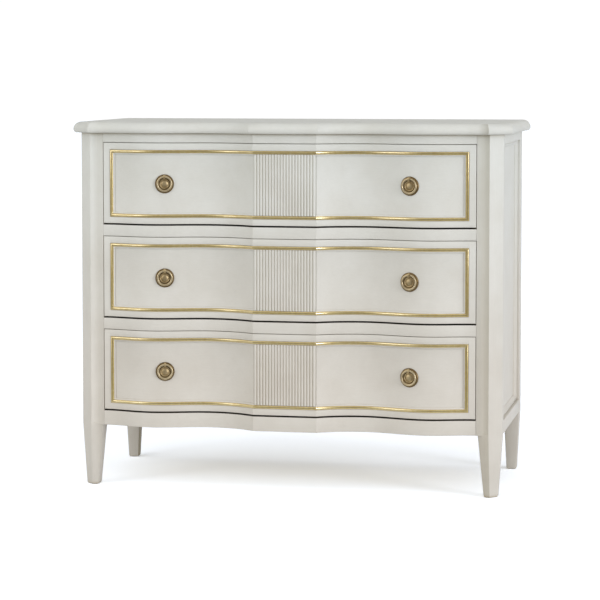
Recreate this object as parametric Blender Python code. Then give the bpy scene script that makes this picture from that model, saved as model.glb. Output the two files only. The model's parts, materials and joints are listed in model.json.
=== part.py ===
"""Painted serpentine chest of three drawers on tapered legs.

Metres, +Z up, front towards -Y. The origin is on the floor, under the middle of the top.
The case stands on four posts that run on as legs. Rails, runners and framed sides join
them. Each drawer front is shaped from thick stock to the same plan curve, hollowed to a
field with a gilt moulding round it, and carries a reeded tablet and two ring pulls.
"""
import math

import bmesh
import bpy
from mathutils import Matrix, Vector

# Heights of the case, from the floor up
LEG_HEIGHT = 0.145
APRON_HEIGHT = 0.035
BOX_SIDE_HEIGHT = 0.172
BOX_HEAD_ROOM = 0.022
DIVIDER_HEIGHT = 0.027
TOP_RAIL_HEIGHT = 0.022
TOP_THICKNESS = 0.026

# Plan of the case
OPENING_WIDTH = 0.886
CASE_DEPTH = 0.440
POST_WIDTH = 0.059
POST_DEPTH = 0.045
REAR_POST_SIZE = 0.038
CANT = 0.029
EAR_PROUD = 0.006
EAR_WIDTH = 0.014
RAIL_EDGE = 0.0012

# Serpentine front: a raised centre, a hollow each side of it, then a swell
CENTRE_WIDTH = 0.150
CENTRE_RELIEF = 0.030
HOLLOW_DEPTH = 0.006
SWELL_RELIEF = 0.023
HOLLOW_PLACE_SHARE = 0.41
SWELL_PLACE_SHARE = 0.735

# Tapered feet
FOOT_WIDTH = 0.031
FOOT_SIDE_TAPER = 0.010
FOOT_FRONT_TAPER = 0.012
FOOT_REAR_TAPER = 0.007
FOOT_CANT = 0.017
LEG_SETBACK = 0.004
LEG_INSET = 0.004
REAR_FOOT_SIZE = 0.024
REAR_FOOT_TAPER = 0.007
FOOT_ROUND = 0.004

# Moulded top
TOP_OVERHANG = 0.020
BACK_OVERHANG = 0.006
NOSE_HEIGHT = 0.009
NOSE_SPREAD = 0.019
NOSE_UNDERCUT = 0.007
TOP_EAR_WIDTH = 0.022

# Framed sides and back
SIDE_RAIL_THICKNESS = 0.022
SIDE_FOOT_RAIL_HEIGHT = 0.030
KICKER_WIDTH = 0.082
PANEL_RECESS = 0.014
PANEL_THICKNESS = 0.006
PANEL_GROOVE = 0.008
MOULDING_HEIGHT = 0.008
MOULDING_SHOULDER = 0.0065
MOULDING_FOOT = 0.002
MOULDING_CROWN_PLACES = (0.003, 0.006)
MOULDING_HOLLOW_PLACE = 0.011
MOULDING_WIDTH = 0.013
BACK_RAIL_THICKNESS = 0.022
BACK_RAIL_HEIGHT = 0.050
BACK_THICKNESS = 0.006
BACK_INSET = 0.006
BACK_RISE = 0.003

# Drawer runners and stops
RUNNER_THICKNESS = 0.018
RUNNER_REACH = 0.008
GUIDE_HEIGHT = 0.015
GUIDE_PLAY = 0.0012
STOP_WIDTH = 0.060
STOP_LENGTH = 0.020
STOP_HEIGHT = 0.008

# Drawer fronts
SIDE_GAP = 0.0022
TOP_GAP = 0.002
BOTTOM_GAP = 0.003
FRONT_BACK_PLANE = 0.022
BORDER = 0.015
FIELD_RECESS = 0.005

# Gilt moulding round the field
BEAD_WIDTH = 0.0096
BEAD_SHOULDER = 0.0048
BEAD_CROWN = 0.0070
BEAD_STEP = 0.0046
BEAD_LIP = 0.0024
BEAD_CROWN_SHARES = (0.17, 0.43)
BEAD_STEP_SHARE = 0.60
BEAD_LIP_SHARE = 0.97

# Reeded tablet
REED_COUNT = 21
REED_FACETS = 4
TABLET_BASE = 0.003
REED_HEIGHT = 0.003

# Drawer boxes
BOX_SIDE_THICKNESS = 0.012
BOX_REAR_ROOM = 0.014
BOX_BACK_THICKNESS = 0.012
BOX_BACK_INSET = 0.003
BOX_BACK_DROP = 0.007
BOTTOM_THICKNESS = 0.006
BOTTOM_RISE = 0.010
BOTTOM_GROOVE = 0.005
TAIL_COUNT = 4
TAIL_LENGTH = 0.012
PIN_WIDTH = 0.010
TAIL_FLARE = 0.003

# Ring pulls
PULL_PLACE_SHARE = 0.681
ROSETTE_RADIUS = 0.0218
ROSETTE_RIM = 0.0026
ROSETTE_BED = 0.0030
ROSETTE_STEP = 0.0024
RIM_HEIGHT_SHARE = 0.6
RIM_WIDTH_SHARE = 0.5
BOSS_RADIUS = 0.0085
BOSS_HEIGHT = 0.0068
BOSS_SHOULDER_SHARE = 0.75
BOSS_FLAT_SHARE = 0.35
SCREW_RADIUS = 0.0020
SCREW_LENGTH = 0.016
SCREW_PLAY = 0.0004
RING_RADIUS = 0.0165
RING_WIRE = 0.0022
RING_STANDOFF = 0.0066
EYE_RADIUS = 0.0048
EYE_BORE = 0.0029
EYE_WIDTH = 0.005
SEAT_PLAY = 0.0008

# Fits, and how far a cut runs past the wood
GAP = 0.0003
OVERRUN = 0.004
WELD = 0.00003
SHARP_ANGLE = math.radians(40)

# Facets of the curves
HOLLOW_FACETS = 8
SWELL_FACETS = 9
END_FACETS = 7
EAR_FACETS = 4
NOSE_FACETS = 5
UNDERCUT_FACETS = 3
FOOT_FACETS = 2
ROUND_FACETS = 20
WIRE_FACETS = 6
SCREW_FACETS = 8
EYE_FACETS = 12
HALF_FACET_SHARE = 0.5

# Places worked out from the sizes above
HALF_OPENING = OPENING_WIDTH / 2
OUTER = HALF_OPENING + POST_WIDTH
REAR_INNER = OUTER - REAR_POST_SIZE
REAR_FRONT = CASE_DEPTH - REAR_POST_SIZE
OPENING_HEIGHT = BOX_SIDE_HEIGHT + BOX_HEAD_ROOM
OPENING_PITCH = OPENING_HEIGHT + DIVIDER_HEIGHT
DRAWERS = ("lower", "middle", "upper")
SIDES = {"left": -1, "right": 1}
APRON_TOP = LEG_HEIGHT + APRON_HEIGHT
OPENING_BASES = [APRON_TOP + OPENING_PITCH * k for k in range(len(DRAWERS))]
TOP_RAIL_BASE = OPENING_BASES[-1] + OPENING_HEIGHT
CASE_TOP = TOP_RAIL_BASE + TOP_RAIL_HEIGHT
FRONT_TO_BACK = CENTRE_RELIEF + TOP_OVERHANG + CASE_DEPTH + BACK_OVERHANG
STILE_PLANE = CENTRE_RELIEF + TOP_OVERHANG - FRONT_TO_BACK / 2
FRONT_HALF = HALF_OPENING - SIDE_GAP
FRONT_TOP = OPENING_HEIGHT - TOP_GAP
FIELD_HALF = FRONT_HALF - BORDER
PULL_PLACE = FIELD_HALF * PULL_PLACE_SHARE
FIELD_BASE = BOTTOM_GAP + BORDER
FIELD_TOP = FRONT_TOP - BORDER
PANEL_OUTER = OUTER - PANEL_RECESS
PANEL_INNER = PANEL_OUTER - PANEL_THICKNESS
BOX_INNER = FRONT_HALF - BOX_SIDE_THICKNESS
BACK_RAIL_REAR = CASE_DEPTH - BACK_INSET - BACK_THICKNESS - GAP
BACK_RAIL_FRONT = BACK_RAIL_REAR - BACK_RAIL_THICKNESS
BOX_REAR = BACK_RAIL_FRONT - BOX_REAR_ROOM


# Scene and materials

def clear_scene():
    for old in list(bpy.data.objects):
        bpy.data.objects.remove(old, do_unlink=True)


def finish(name, colour, roughness, metallic=0.0):
    material = bpy.data.materials.new(name)
    material.use_nodes = True
    shader = material.node_tree.nodes["Principled BSDF"]
    shader.inputs["Base Color"].default_value = (*colour, 1.0)
    shader.inputs["Roughness"].default_value = roughness
    shader.inputs["Metallic"].default_value = metallic
    return material


# Shapes

def mesh_from(bm, name, smooth=False):
    bmesh.ops.remove_doubles(bm, verts=bm.verts, dist=WELD)
    bmesh.ops.recalc_face_normals(bm, faces=bm.faces)
    mesh = bpy.data.meshes.new(name)
    bm.to_mesh(mesh)
    bm.free()
    if smooth:
        mesh.shade_smooth()
        mesh.set_sharp_from_angle(angle=SHARP_ANGLE)
    return mesh


def loft(sections, ring=False):
    """A closed solid through sections of equal point counts, capped unless it is a ring."""
    bm = bmesh.new()
    rows = [[bm.verts.new(point) for point in section] for section in sections]
    pairs = list(zip(rows, rows[1:]))
    if ring:
        pairs.append((rows[-1], rows[0]))
    else:
        bm.faces.new(rows[0])
        bm.faces.new(rows[-1])
    count = len(rows[0])
    for near, far in pairs:
        for i in range(count):
            j = (i + 1) % count
            bm.faces.new((near[i], near[j], far[j], far[i]))
    return bm


def block(x_span, y_span, z_span):
    """A rectangular solid between two places along each axis."""
    sections = [[(x, y, z) for x, y in ((x_span[0], y_span[0]), (x_span[1], y_span[0]),
                                        (x_span[1], y_span[1]), (x_span[0], y_span[1]))]
                for z in z_span]
    return loft(sections)


def turned(profile, facets):
    """A solid of revolution about Y: profile holds (radius, distance towards the front)."""
    sections = []
    for radius, forward in profile:
        ring = []
        for k in range(facets):
            angle = 2 * math.pi * (k + HALF_FACET_SHARE) / facets
            ring.append((radius * math.cos(angle), -forward, radius * math.sin(angle)))
        sections.append(ring)
    return loft(sections)


def combine(mesh, tool_bm, operation):
    """The mesh after one exact Boolean with a tool shape, which is then thrown away."""
    body = bpy.data.objects.new("work_body", mesh)
    tool = bpy.data.objects.new("work_tool", mesh_from(tool_bm, "work_tool"))
    for item in (body, tool):
        bpy.context.scene.collection.objects.link(item)
    modifier = body.modifiers.new("cut", "BOOLEAN")
    modifier.operation = operation
    modifier.solver = "EXACT"
    modifier.object = tool
    graph = bpy.context.evaluated_depsgraph_get()
    result = bpy.data.meshes.new_from_object(body.evaluated_get(graph))
    result.name = mesh.name
    for item in (body, tool):
        bpy.data.objects.remove(item, do_unlink=True)
    return result


def place(name, mesh, material, parent, location=(0, 0, 0), turn=0.0):
    piece = bpy.data.objects.new(name, mesh)
    mesh.materials.clear()
    mesh.materials.append(material)
    bpy.context.scene.collection.objects.link(piece)
    piece.parent = parent
    piece.location = location
    piece.rotation_euler = (0, 0, turn)
    return piece


def guide_point(name, parent=None, location=(0, 0, 0), turn=0.0):
    point = bpy.data.objects.new(name, None)
    bpy.context.scene.collection.objects.link(point)
    point.parent = parent
    point.location = location
    point.rotation_euler = (0, 0, turn)
    return point


def mirrored(points, side):
    """Points of a right-hand piece, or of its left-hand twin for side -1."""
    return [(side * x, y, z) for x, y, z in points]


# Plan curve of the front

def wave(start, end, share):
    return start + (end - start) * (1 - math.cos(math.pi * share)) / 2


def relief(x):
    """How far the front stands forward of the stiles at a place across it."""
    x = abs(x)
    centre = CENTRE_WIDTH / 2
    hollow = HOLLOW_PLACE_SHARE * HALF_OPENING
    swell = SWELL_PLACE_SHARE * HALF_OPENING
    if x <= centre:
        return CENTRE_RELIEF
    if x <= hollow:
        rise = CENTRE_RELIEF + HOLLOW_DEPTH
        radius = ((hollow - centre) ** 2 + rise ** 2) / (2 * rise)
        return radius - HOLLOW_DEPTH - math.sqrt(radius ** 2 - (hollow - x) ** 2)
    if x <= swell:
        return wave(-HOLLOW_DEPTH, SWELL_RELIEF, (x - hollow) / (swell - hollow))
    if x <= HALF_OPENING:
        return wave(SWELL_RELIEF, 0.0, (x - swell) / (HALF_OPENING - swell))
    return 0.0


def spread(start, end, count):
    return [start + (end - start) * k / count for k in range(count)]


def stations(half):
    """Places across the front, from -half to half, closest where the curve bends."""
    centre = CENTRE_WIDTH / 2
    hollow = HOLLOW_PLACE_SHARE * HALF_OPENING
    swell = SWELL_PLACE_SHARE * HALF_OPENING
    right = spread(centre, hollow, HOLLOW_FACETS) + spread(hollow, swell, SWELL_FACETS)
    right += spread(swell, HALF_OPENING, END_FACETS)
    right = [x for x in right if x < half - RAIL_EDGE] + [half]
    return [-x for x in reversed(right)] + right


def front_offset(half, distance):
    """The front line moved out by a distance square to itself, as (x, y) points."""
    line = [Vector((x, -relief(x))) for x in stations(half)]
    moved = []
    for k, point in enumerate(line):
        before = (point - line[k - 1]).normalized() if k else Vector((1, 0))
        after = (line[k + 1] - point).normalized() if k + 1 < len(line) else Vector((1, 0))
        normals = [Vector((run.y, -run.x)) for run in (before, after)]
        mitre = (normals[0] + normals[1]) / (1 + normals[0].dot(normals[1]))
        moved.append(point + mitre * distance)
    return moved


# Case

def ear(x_start, x_end, y_start, y_end):
    """The hollow that sweeps from the stile forward to the canted corner."""
    points = []
    for k in range(EAR_FACETS + 1):
        share = k / EAR_FACETS
        points.append((x_start + (x_end - x_start) * share, y_start + (y_end - y_start) * share ** 2))
    return points


def front_post_sections():
    """Plan outlines of the right front post, above the apron's foot, and of its tapered leg."""
    arris = OUTER - CANT
    post = [(HALF_OPENING, 0)] + ear(arris - EAR_WIDTH, arris, 0, -EAR_PROUD)
    post += [(OUTER, CANT - EAR_PROUD), (OUTER, POST_DEPTH), (HALF_OPENING, POST_DEPTH)]
    inner = HALF_OPENING + LEG_INSET
    knee_rear = POST_DEPTH - LEG_INSET
    knee = [(inner, LEG_SETBACK), (arris, -EAR_PROUD), (OUTER, CANT - EAR_PROUD), (OUTER, knee_rear),
            (inner, knee_rear)]
    outer = OUTER - FOOT_SIDE_TAPER
    inner = outer - FOOT_WIDTH
    front = FOOT_FRONT_TAPER - EAR_PROUD
    rear = POST_DEPTH - FOOT_REAR_TAPER
    foot = [(inner, front + LEG_SETBACK), (outer - FOOT_CANT, front), (outer, front + FOOT_CANT),
            (outer, rear), (inner, rear)]
    leg = foot_sections(foot, knee)
    leg += [[(x, y, z) for x, y in knee] for z in (LEG_HEIGHT, LEG_HEIGHT + OVERRUN)]
    return [[(x, y, z) for x, y in post] for z in (LEG_HEIGHT, CASE_TOP - GAP)], leg


def foot_sections(foot, knee):
    """The rounded end of a foot, as plan outlines drawn in towards its middle."""
    middle = Vector((sum(x for x, y in foot) / len(foot), sum(y for x, y in foot) / len(foot)))
    size = max(x for x, y in foot) - min(x for x, y in foot)
    sections = []
    for k in range(FOOT_FACETS + 1):
        angle = math.pi / 2 * k / FOOT_FACETS
        height = FOOT_ROUND * (1 - math.cos(angle))
        shrink = 1 - 2 * FOOT_ROUND * (1 - math.sin(angle)) / size
        rise = height / LEG_HEIGHT
        section = []
        for low, high in zip(foot, knee):
            point = Vector(low).lerp(Vector(high), rise)
            point = middle + (point - middle) * shrink
            section.append((point.x, point.y, height))
        sections.append(section)
    return sections


def rear_post_sections():
    post = [(REAR_INNER, REAR_FRONT), (OUTER, REAR_FRONT), (OUTER, CASE_DEPTH), (REAR_INNER, CASE_DEPTH)]
    x_far = OUTER - REAR_FOOT_TAPER
    y_far = CASE_DEPTH - REAR_FOOT_TAPER
    x_near = x_far - REAR_FOOT_SIZE
    y_near = y_far - REAR_FOOT_SIZE
    foot = [(x_near, y_near), (x_far, y_near), (x_far, y_far), (x_near, y_far)]
    sections = foot_sections(foot, post)
    sections += [[(x, y, z) for x, y in post] for z in (LEG_HEIGHT, CASE_TOP - GAP)]
    return sections


def panel_bounds():
    """The sight opening of a framed side: y span, z span."""
    return (POST_DEPTH, REAR_FRONT), (LEG_HEIGHT + SIDE_FOOT_RAIL_HEIGHT, TOP_RAIL_BASE)


def side_span(side, near, far):
    return (side * near, side * far)


def groove_block(side, y_span, z_span):
    return block(side_span(side, PANEL_INNER - GAP, PANEL_OUTER + GAP), y_span, z_span)


def make_posts(case, paint):
    (y_near, y_far), (z_low, z_high) = panel_bounds()
    z_span = (z_low - PANEL_GROOVE, z_high + PANEL_GROOVE)
    for label, side in SIDES.items():
        post, leg = ([mirrored(section, side) for section in part] for part in front_post_sections())
        mesh = combine(mesh_from(loft(post), "front_post"), loft(leg), "UNION")
        cutter = groove_block(side, (y_near - PANEL_GROOVE, y_near + OVERRUN), z_span)
        mesh = combine(mesh, cutter, "DIFFERENCE")
        place("front_post_" + label, mesh, paint, case)
        sections = [mirrored(section, side) for section in rear_post_sections()]
        mesh = mesh_from(loft(sections), "rear_post")
        cutter = groove_block(side, (y_far - OVERRUN, y_far + PANEL_GROOVE), z_span)
        mesh = combine(mesh, cutter, "DIFFERENCE")
        place("rear_post_" + label, mesh, paint, case)


def make_sides(case, paint):
    (y_near, y_far), (z_low, z_high) = panel_bounds()
    y_span = (y_near + GAP, y_far - GAP)
    y_cut = (y_near - OVERRUN, y_far + OVERRUN)
    for label, side in SIDES.items():
        thickness = side_span(side, OUTER - SIDE_RAIL_THICKNESS, OUTER)
        mesh = mesh_from(block(thickness, y_span, (LEG_HEIGHT, z_low)), "side_foot_rail")
        cutter = groove_block(side, y_cut, (z_low - PANEL_GROOVE, z_low + OVERRUN))
        place("side_foot_rail_" + label, combine(mesh, cutter, "DIFFERENCE"), paint, case)
        thickness = side_span(side, OUTER - KICKER_WIDTH, OUTER)
        mesh = mesh_from(block(thickness, y_span, (z_high, CASE_TOP - GAP)), "side_top_rail")
        cutter = groove_block(side, y_cut, (z_high - OVERRUN, z_high + PANEL_GROOVE))
        place("side_top_rail_" + label, combine(mesh, cutter, "DIFFERENCE"), paint, case)
        place("side_panel_" + label, mesh_from(side_panel(side), "side_panel"), paint, case)


def side_panel(side):
    """A flat panel housed in the grooves, with a moulding round its outer face."""
    (y_near, y_far), (z_low, z_high) = panel_bounds()
    housed = PANEL_GROOVE - GAP
    rows = [(PANEL_INNER, -housed), (PANEL_OUTER, -housed), (PANEL_OUTER, GAP),
            (PANEL_OUTER + MOULDING_SHOULDER, GAP),
            (PANEL_OUTER + MOULDING_HEIGHT, MOULDING_CROWN_PLACES[0]),
            (PANEL_OUTER + MOULDING_HEIGHT, MOULDING_CROWN_PLACES[1]),
            (PANEL_OUTER + MOULDING_FOOT, MOULDING_HOLLOW_PLACE),
            (PANEL_OUTER + MOULDING_FOOT, MOULDING_WIDTH), (PANEL_OUTER, MOULDING_WIDTH)]
    sections = []
    for x, inset in rows:
        corners = ((y_near + inset, z_low + inset), (y_far - inset, z_low + inset),
                   (y_far - inset, z_high - inset), (y_near + inset, z_high - inset))
        sections.append([(side * x, y, z) for y, z in corners])
    return loft(sections)


def shaped_rail(z_low, z_high):
    """A rail between the front posts, its face shaped to the plan curve, edges eased."""
    half = HALF_OPENING - GAP
    sections = []
    for x in stations(half):
        face = -relief(x)
        outline = [(POST_DEPTH, z_low), (face + RAIL_EDGE, z_low), (face, z_low + RAIL_EDGE),
                   (face, z_high - RAIL_EDGE), (face + RAIL_EDGE, z_high), (POST_DEPTH, z_high)]
        sections.append([(x, y, z) for y, z in outline])
    return loft(sections)


def make_rails(case, paint):
    spans = {"apron_rail": (LEG_HEIGHT, APRON_TOP)}
    for name, base in zip(("lower_divider_rail", "upper_divider_rail"), OPENING_BASES[1:]):
        spans[name] = (base - DIVIDER_HEIGHT, base)
    spans["top_rail"] = (TOP_RAIL_BASE, CASE_TOP - GAP)
    for name, (z_low, z_high) in spans.items():
        place(name, mesh_from(shaped_rail(z_low, z_high), name), paint, case)


def top_outline(inset):
    """The plan of the top, drawn in from its widest line by an inset, open at the back."""
    reach = TOP_OVERHANG - inset
    mitre = math.tan(math.pi / 8) * inset
    arris = OUTER - CANT - mitre
    right = ear(arris - TOP_EAR_WIDTH, arris, -reach, -EAR_PROUD - reach)
    right += [(OUTER + reach, CANT - EAR_PROUD + mitre), (OUTER + reach, CASE_DEPTH + BACK_OVERHANG)]
    left = [(-x, y) for x, y in reversed(right)]
    return left + [tuple(point) for point in front_offset(HALF_OPENING, reach)] + right


def make_top(case, paint):
    """The top, its edge a thumbnail: rounded under to the nose, then a long curve up."""
    rows = []
    for k in range(UNDERCUT_FACETS + 1):
        angle = math.pi / 2 * k / UNDERCUT_FACETS
        rows.append((NOSE_UNDERCUT * (1 - math.sin(angle)), NOSE_HEIGHT * (1 - math.cos(angle))))
    for k in range(1, NOSE_FACETS + 1):
        angle = math.pi / 2 * k / NOSE_FACETS
        rise = (TOP_THICKNESS - NOSE_HEIGHT) * math.sin(angle)
        rows.append((NOSE_SPREAD * (1 - math.cos(angle)), NOSE_HEIGHT + rise))
    sections = [[(x, y, CASE_TOP + height) for x, y in top_outline(inset)] for inset, height in rows]
    place("top", mesh_from(loft(sections), "top"), paint, case)


def make_back(case, paint, plain_wood):
    half = REAR_INNER - GAP
    y_span = (BACK_RAIL_FRONT, BACK_RAIL_REAR)
    spans = {"back_foot_rail": (LEG_HEIGHT, LEG_HEIGHT + BACK_RAIL_HEIGHT),
             "back_top_rail": (CASE_TOP - BACK_RAIL_HEIGHT, CASE_TOP - GAP)}
    for name, z_span in spans.items():
        place(name, mesh_from(block((-half, half), y_span, z_span), name), plain_wood, case)
    z_span = (LEG_HEIGHT + BACK_RISE, CASE_TOP - GAP)
    y_span = (BACK_RAIL_REAR + GAP, CASE_DEPTH - BACK_INSET)
    mesh = mesh_from(block((-half, half), y_span, z_span), "back_panel")
    place("back_panel", mesh, plain_wood, case)


def make_runners(case, plain_wood):
    """Rabbeted strips behind the posts: the drawer side runs on one arm, along the other."""
    inner = BOX_INNER - RUNNER_REACH
    guide = FRONT_HALF + GUIDE_PLAY
    outer = OUTER - SIDE_RAIL_THICKNESS - GAP
    y_span = (POST_DEPTH + GAP, REAR_FRONT - GAP)
    for name, base in zip(DRAWERS, OPENING_BASES):
        outline = [(inner, base - RUNNER_THICKNESS), (outer, base - RUNNER_THICKNESS),
                   (outer, base + GUIDE_HEIGHT), (guide, base + GUIDE_HEIGHT), (guide, base), (inner, base)]
        for label, side in SIDES.items():
            sections = [[(side * x, y, z) for x, z in outline] for y in y_span]
            place(name + "_runner_" + label, mesh_from(loft(sections), "runner"), plain_wood, case)


def make_stops(case, plain_wood):
    """A block glued on the rail behind each drawer front, which stops the drawer flush."""
    y_near = FRONT_BACK_PLANE + GAP
    for name, base in zip(DRAWERS, OPENING_BASES):
        shape = block((-STOP_WIDTH / 2, STOP_WIDTH / 2), (y_near, y_near + STOP_LENGTH),
                      (base + GAP, base + STOP_HEIGHT))
        place(name + "_drawer_stop", mesh_from(shape, "drawer_stop"), plain_wood, case)


# Drawers, drawn with z from the floor of their opening

def curved_slab(half, y_front, y_rear, z_low, z_high):
    """A slab across the front between two faces, each given as a function of x."""
    sections = []
    for x in stations(half):
        near, far = y_front(x), y_rear(x)
        sections.append([(x, near, z_low), (x, near, z_high), (x, far, z_high), (x, far, z_low)])
    return loft(sections)


def tail_outline(play):
    """The front end of a drawer side: dovetails, each widest at its tip, as (y, z)."""
    base, top = GAP, GAP + BOX_SIDE_HEIGHT
    lowest = BOTTOM_GAP
    pitch = (top - lowest) / TAIL_COUNT
    root = FRONT_BACK_PLANE
    tails = []
    for k in range(TAIL_COUNT):
        low = lowest + pitch * k + PIN_WIDTH / 2
        high = lowest + pitch * (k + 1) - PIN_WIDTH / 2
        tails.append([(root, low + TAIL_FLARE - play), (root - TAIL_LENGTH - play, low - play),
                      (root - TAIL_LENGTH - play, high + play), (root, high - TAIL_FLARE + play)])
    return base, top, tails


def drawer_side(side):
    base, top, tails = tail_outline(0)
    outline = [(BOX_REAR, base), (FRONT_BACK_PLANE + GAP, base)]
    for tail in tails:
        outline.append((FRONT_BACK_PLANE + GAP, tail[0][1]))
        outline += tail[1:3]
        outline.append((FRONT_BACK_PLANE + GAP, tail[3][1]))
    outline += [(FRONT_BACK_PLANE + GAP, top), (BOX_REAR, top)]
    sections = [[(side * x, y, z) for y, z in outline] for x in (BOX_INNER, FRONT_HALF)]
    mesh = mesh_from(loft(sections), "drawer_side")
    groove = block(side_span(side, BOX_INNER - OVERRUN, BOX_INNER + BOTTOM_GROOVE),
                   (FRONT_BACK_PLANE - TAIL_LENGTH - OVERRUN, BOX_REAR + OVERRUN), bottom_groove_span())
    return combine(mesh, groove, "DIFFERENCE")


def bottom_groove_span():
    return (BOTTOM_RISE, BOTTOM_RISE + BOTTOM_THICKNESS + 2 * GAP)


def drawer_front():
    """The shaped front: hollowed field, dovetail sockets, groove and seats for the pulls."""
    faces = (lambda x: -relief(x), lambda x: FRONT_BACK_PLANE)
    mesh = mesh_from(curved_slab(FRONT_HALF, *faces, BOTTOM_GAP, FRONT_TOP), "drawer_front")
    faces = (lambda x: -CENTRE_RELIEF - OVERRUN, lambda x: FIELD_RECESS - relief(x))
    mesh = combine(mesh, curved_slab(FIELD_HALF, *faces, FIELD_BASE, FIELD_TOP), "DIFFERENCE")
    groove = block((-BOX_INNER - BOTTOM_GROOVE, BOX_INNER + BOTTOM_GROOVE),
                   (FRONT_BACK_PLANE - BOTTOM_THICKNESS, FRONT_BACK_PLANE + OVERRUN), bottom_groove_span())
    mesh = combine(mesh, groove, "DIFFERENCE")
    for side in SIDES.values():
        for tail in tail_outline(GAP)[2]:
            behind = FRONT_BACK_PLANE + OVERRUN
            socket = [(behind, tail[0][1])] + tail + [(behind, tail[3][1])]
            x_span = (BOX_INNER - GAP, FRONT_HALF + OVERRUN)
            sections = [[(side * x, y, z) for y, z in socket] for x in x_span]
            mesh = combine(mesh, loft(sections), "DIFFERENCE")
        mesh = combine(mesh, pull_seat(side), "DIFFERENCE")
    return mesh


def gilt_bead():
    """A mitred moulding in the corner of the hollowed field, following the plan curve."""
    crown_near, crown_far = (BEAD_WIDTH * share for share in BEAD_CROWN_SHARES)
    step, lip = BEAD_WIDTH * BEAD_STEP_SHARE, BEAD_WIDTH * BEAD_LIP_SHARE
    profile = [(0, 0), (0, BEAD_SHOULDER), (crown_near, BEAD_CROWN), (crown_far, BEAD_CROWN),
               (step, BEAD_STEP), (lip, BEAD_LIP), (BEAD_WIDTH, 0)]
    half = FIELD_HALF - GAP
    low, high = FIELD_BASE + GAP, FIELD_TOP - GAP

    def point(x, inset, height, upper):
        z = high - inset if upper else low + inset
        return (x, FIELD_RECESS - GAP - relief(x) - height, z)

    between = [x for x in stations(half) if abs(x) < half - BEAD_WIDTH]
    sections = []
    for upper, run in ((True, between), (False, between[::-1])):
        start = -half if upper else half
        turn = 1 if upper else -1
        sections.append([point(start + turn * u, u, v, upper) for u, v in profile])
        sections += [[point(x, u, v, upper) for u, v in profile] for x in run]
        sections.append([point(-start - turn * u, u, v, upper) for u, v in profile])
    return loft(sections, ring=True)


def reeded_tablet():
    """A block of upright reeds on a thin ground, glued on the raised centre of the field."""
    half = CENTRE_WIDTH / 2
    pitch = CENTRE_WIDTH / REED_COUNT
    ground = FIELD_RECESS - GAP - CENTRE_RELIEF
    outline = [(half, ground), (-half, ground), (-half, ground - TABLET_BASE)]
    for reed in range(REED_COUNT):
        for k in range(1, REED_FACETS + 1):
            share = k / REED_FACETS
            x = -half + pitch * (reed + share)
            outline.append((x, ground - TABLET_BASE - REED_HEIGHT * math.sin(math.pi * share)))
    z_low = FIELD_BASE + BEAD_WIDTH + 2 * GAP
    z_high = FIELD_TOP - BEAD_WIDTH - 2 * GAP
    return loft([[(x, y, z) for x, y in outline] for z in (z_low, z_high)])


# Ring pulls, drawn about the middle of the rosette's back

def pull_turn(side):
    """How far the face of the field is turned about Z where a pull is fixed."""
    step = ROSETTE_RADIUS
    slope = (relief(PULL_PLACE + step) - relief(PULL_PLACE - step)) / (2 * step)
    return -side * math.atan(slope)


def pull_base():
    """The flat seat cut for a rosette: y of its middle, just below the shaped field."""
    turn = pull_turn(1)
    forward = Vector((math.sin(turn), -math.cos(turn)))
    along = Vector((math.cos(turn), math.sin(turn)))
    middle = Vector((PULL_PLACE, FIELD_RECESS - relief(PULL_PLACE)))
    drop = 0.0
    for reach in (-ROSETTE_RADIUS, ROSETTE_RADIUS):
        edge = middle + along * reach
        drop = max(drop, ((edge - Vector((edge.x, FIELD_RECESS - relief(edge.x)))).dot(forward)))
    return middle - forward * (drop + GAP)


def pull_height():
    return (FIELD_BASE + FIELD_TOP) / 2


def pull_seat(side):
    """The cutter for a rosette's flat seat and the pilot bore of its screw."""
    depth = SCREW_LENGTH + OVERRUN
    wide = ROSETTE_RADIUS + SEAT_PLAY
    narrow = SCREW_RADIUS + SCREW_PLAY
    seat = mesh_from(turned([(wide, -GAP), (wide, CENTRE_RELIEF)], ROUND_FACETS), "seat")
    cutter_mesh = combine(seat, turned([(narrow, -depth), (narrow, OVERRUN)], SCREW_FACETS), "UNION")
    base = pull_base()
    cutter = bmesh.new()
    cutter.from_mesh(cutter_mesh)
    place_at = Matrix.Translation((side * base.x, base.y, pull_height()))
    turned_by = Matrix.Rotation(pull_turn(side), 4, "Z")
    bmesh.ops.transform(cutter, matrix=place_at @ turned_by, verts=cutter.verts)
    return cutter


def rosette():
    """A turned backplate with a boss, an eye for the ring at its top and a screw behind."""
    outer = ROSETTE_RADIUS
    rim = outer - ROSETTE_RIM * RIM_WIDTH_SHARE
    bed = RING_RADIUS + RING_WIRE
    inner_bed = RING_RADIUS - RING_WIRE
    profile = [(SCREW_RADIUS, -SCREW_LENGTH), (SCREW_RADIUS, 0), (outer, 0),
               (outer, ROSETTE_RIM * RIM_HEIGHT_SHARE), (rim, ROSETTE_RIM), (bed, ROSETTE_BED),
               (inner_bed, ROSETTE_BED), (inner_bed - ROSETTE_STEP, ROSETTE_STEP),
               (BOSS_RADIUS, ROSETTE_BED),
               (BOSS_RADIUS * BOSS_SHOULDER_SHARE, BOSS_HEIGHT * BOSS_SHOULDER_SHARE),
               (BOSS_RADIUS * BOSS_FLAT_SHARE, BOSS_HEIGHT)]
    mesh = mesh_from(turned(profile, ROUND_FACETS), "rosette")
    mesh = combine(mesh, eye_cylinder(EYE_RADIUS, EYE_WIDTH / 2), "UNION")
    mesh = combine(mesh, eye_cylinder(EYE_BORE, EYE_WIDTH), "DIFFERENCE")
    mesh.shade_smooth()
    mesh.set_sharp_from_angle(angle=SHARP_ANGLE)
    return mesh


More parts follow.
